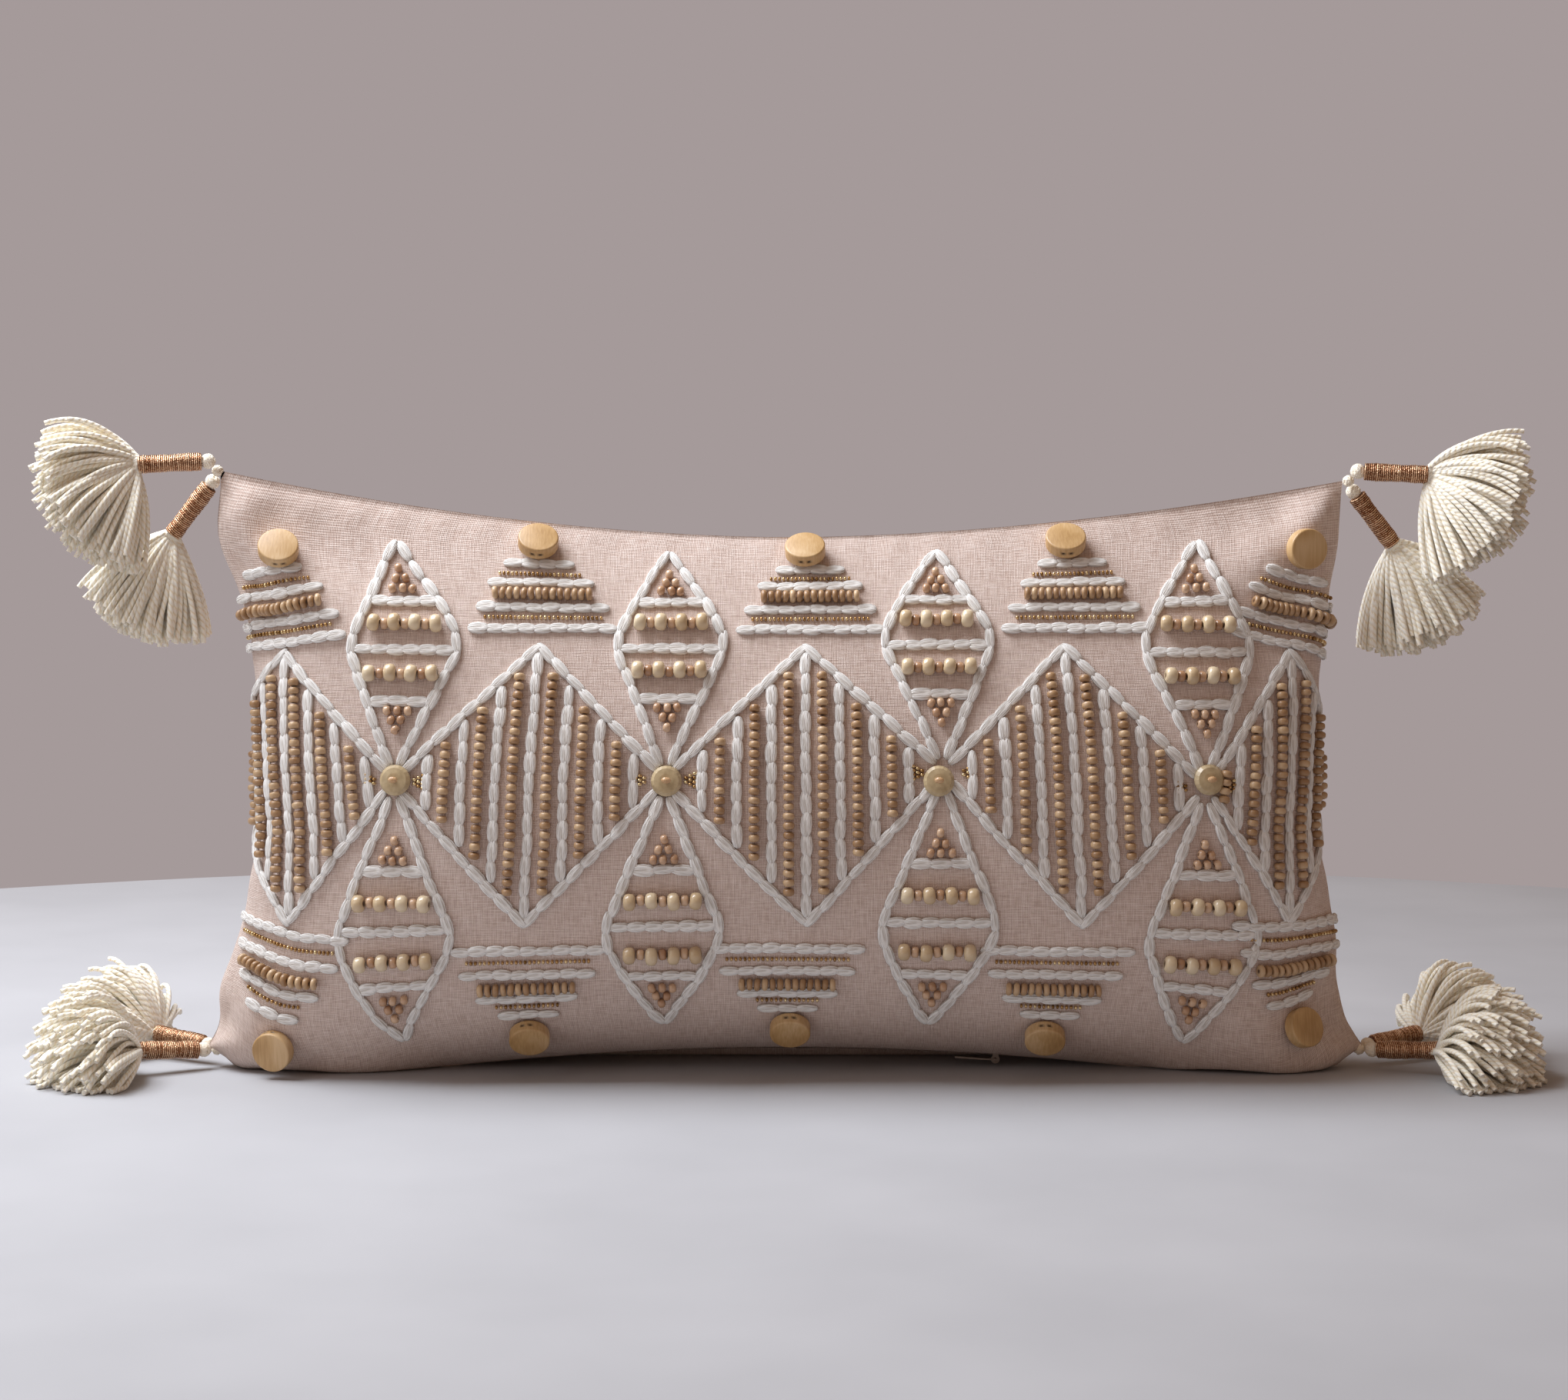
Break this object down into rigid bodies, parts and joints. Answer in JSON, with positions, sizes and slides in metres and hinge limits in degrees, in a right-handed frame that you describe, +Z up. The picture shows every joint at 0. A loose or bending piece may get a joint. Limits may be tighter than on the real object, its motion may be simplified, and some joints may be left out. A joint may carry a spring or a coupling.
{
  "type": "throw pillow",
  "caption": "Rectangular lumbar throw pillow with a zipped linen cover, stuffed insert, wooden coin beads and buttons on the front, and wound-neck tassels at the corners.",
  "frame": {"origin": "on the surface the pillow stands on, below the middle of its overall width and depth", "axes": "+X to the pillow's right as seen from its front, along its long side; +Y from the front panel to the back panel; +Z up"},
  "size_m": [0.7786, 0.155, 0.3113],
  "materials": {
    "linen": "matt slubby weave",
    "ticking": "matt plain weave",
    "filling": "loose polyester fibre",
    "wood": "waxed, fine straight grain",
    "cotton_yarn": "matt twisted yarn",
    "metallic_thread": "tight winding of glossy thread",
    "nylon": "satin",
    "zinc": "satin cast"
  },
  "bodies": {
    "pillow": {"cover_front_panel": "linen", "cover_back_panel": "linen", "insert_front_ticking": "ticking", "insert_back_ticking": "ticking", "insert_filling": "filling", "zipper_tape_front": "nylon", "zipper_tape_back": "nylon", "zipper_coil_front": "nylon", "zipper_coil_back": "nylon", "coin_bead_top_1": "wood", "coin_bead_top_2": "wood", "coin_bead_top_3": "wood", "coin_bead_top_4": "wood", "coin_bead_top_5": "wood", "coin_bead_bottom_1": "wood", "coin_bead_bottom_2": "wood", "coin_bead_bottom_3": "wood", "coin_bead_bottom_4": "wood", "coin_bead_bottom_5": "wood", "junction_button_1": "wood", "button_stop_bead_1": "wood", "junction_button_2": "wood", "button_stop_bead_2": "wood", "junction_button_3": "wood", "button_stop_bead_3": "wood", "junction_button_4": "wood", "button_stop_bead_4": "wood"},
    "zipper_slider": {"zipper_slider": "zinc"},
    "zipper_pull": {"zipper_pull": "zinc"},
    "tie_top_left": {"tassel_top_left_tie": "cotton_yarn"},
    "tassel_top_left_upper": {"tassel_top_left_upper_head": "cotton_yarn", "tassel_top_left_upper_neck": "metallic_thread", "tassel_top_left_upper_skirt": "cotton_yarn"},
    "tassel_top_left_lower": {"tassel_top_left_lower_head": "cotton_yarn", "tassel_top_left_lower_neck": "metallic_thread", "tassel_top_left_lower_skirt": "cotton_yarn"},
    "tie_top_right": {"tassel_top_right_tie": "cotton_yarn"},
    "tassel_top_right_upper": {"tassel_top_right_upper_head": "cotton_yarn", "tassel_top_right_upper_neck": "metallic_thread", "tassel_top_right_upper_skirt": "cotton_yarn"},
    "tassel_top_right_lower": {"tassel_top_right_lower_head": "cotton_yarn", "tassel_top_right_lower_neck": "metallic_thread", "tassel_top_right_lower_skirt": "cotton_yarn"},
    "tie_bottom_left": {"tassel_bottom_left_tie": "cotton_yarn"},
    "tassel_bottom_left_front": {"tassel_bottom_left_front_head": "cotton_yarn", "tassel_bottom_left_front_neck": "metallic_thread", "tassel_bottom_left_front_skirt": "cotton_yarn"},
    "tassel_bottom_left_back": {"tassel_bottom_left_back_head": "cotton_yarn", "tassel_bottom_left_back_neck": "metallic_thread", "tassel_bottom_left_back_skirt": "cotton_yarn"},
    "tie_bottom_right": {"tassel_bottom_right_tie": "cotton_yarn"},
    "tassel_bottom_right_front": {"tassel_bottom_right_front_head": "cotton_yarn", "tassel_bottom_right_front_neck": "metallic_thread", "tassel_bottom_right_front_skirt": "cotton_yarn"},
    "tassel_bottom_right_back": {"tassel_bottom_right_back_head": "cotton_yarn", "tassel_bottom_right_back_neck": "metallic_thread", "tassel_bottom_right_back_skirt": "cotton_yarn"}
  },
  "joints": [
    {"name": "zipper_slide", "type": "hinge", "parent": "pillow", "child": "zipper_slider", "pos_m": [0, 0, -1.49], "axis": [0, 1, 0], "range_deg": [-10.1, 0]},
    {"name": "zipper_pull_flip", "type": "hinge", "parent": "zipper_slider", "child": "zipper_pull", "pos_m": [0.1048, 0, 0.00373], "axis": [0, 1, 0], "range_deg": [-170, 0]},
    {"name": "tie_top_left_swing", "type": "hinge", "parent": "pillow", "child": "tie_top_left", "pos_m": [-0.2843, 0, 0.30038], "axis": [0, 0, 1], "range_deg": [-15, 15]},
    {"name": "tassel_top_left_upper_lift", "type": "hinge", "parent": "tie_top_left", "child": "tassel_top_left_upper", "pos_m": [-0.2879, -0.0059, 0.3051], "axis": [0, 1, 0], "range_deg": [-35, 50]},
    {"name": "tassel_top_left_lower_lift", "type": "hinge", "parent": "tie_top_left", "child": "tassel_top_left_lower", "pos_m": [-0.2879, 0.0054, 0.295], "axis": [0, 1, 0], "range_deg": [-10, 60]},
    {"name": "tie_top_right_swing", "type": "hinge", "parent": "pillow", "child": "tie_top_right", "pos_m": [0.2793, 0, 0.29538], "axis": [0, 0, 1], "range_deg": [-15, 15]},
    {"name": "tassel_top_right_upper_lift", "type": "hinge", "parent": "tie_top_right", "child": "tassel_top_right_upper", "pos_m": [0.2829, -0.0059, 0.3001], "axis": [0, -1, 0], "range_deg": [-35, 50]},
    {"name": "tassel_top_right_lower_lift", "type": "hinge", "parent": "tie_top_right", "child": "tassel_top_right_lower", "pos_m": [0.2829, 0.0054, 0.29], "axis": [0, -1, 0], "range_deg": [-10, 60]},
    {"name": "tie_bottom_left_swing", "type": "hinge", "parent": "pillow", "child": "tie_bottom_left", "pos_m": [-0.28854, 0, 0.00885], "axis": [0, 0, 1], "range_deg": [-15, 15]},
    {"name": "tassel_bottom_left_front_lift", "type": "hinge", "parent": "tie_bottom_left", "child": "tassel_bottom_left_front", "pos_m": [-0.29414, -0.0062, 0.00985], "axis": [-0.5408, 0.8411, 0], "range_deg": [0, 60]},
    {"name": "tassel_bottom_left_back_lift", "type": "hinge", "parent": "tie_bottom_left", "child": "tassel_bottom_left_back", "pos_m": [-0.29414, 0.0062, 0.00985], "axis": [0.5408, 0.8411, 0], "range_deg": [0, 60]},
    {"name": "tie_bottom_right_swing", "type": "hinge", "parent": "pillow", "child": "tie_bottom_right", "pos_m": [0.28854, 0, 0.00885], "axis": [0, 0, 1], "range_deg": [-15, 15]},
    {"name": "tassel_bottom_right_front_lift", "type": "hinge", "parent": "tie_bottom_right", "child": "tassel_bottom_right_front", "pos_m": [0.29414, -0.0062, 0.00985], "axis": [-0.5408, -0.8411, 0], "range_deg": [0, 60]},
    {"name": "tassel_bottom_right_back_lift", "type": "hinge", "parent": "tie_bottom_right", "child": "tassel_bottom_right_back", "pos_m": [0.29414, 0.0062, 0.00985], "axis": [0.5408, -0.8411, 0], "range_deg": [0, 60]}
  ]
}
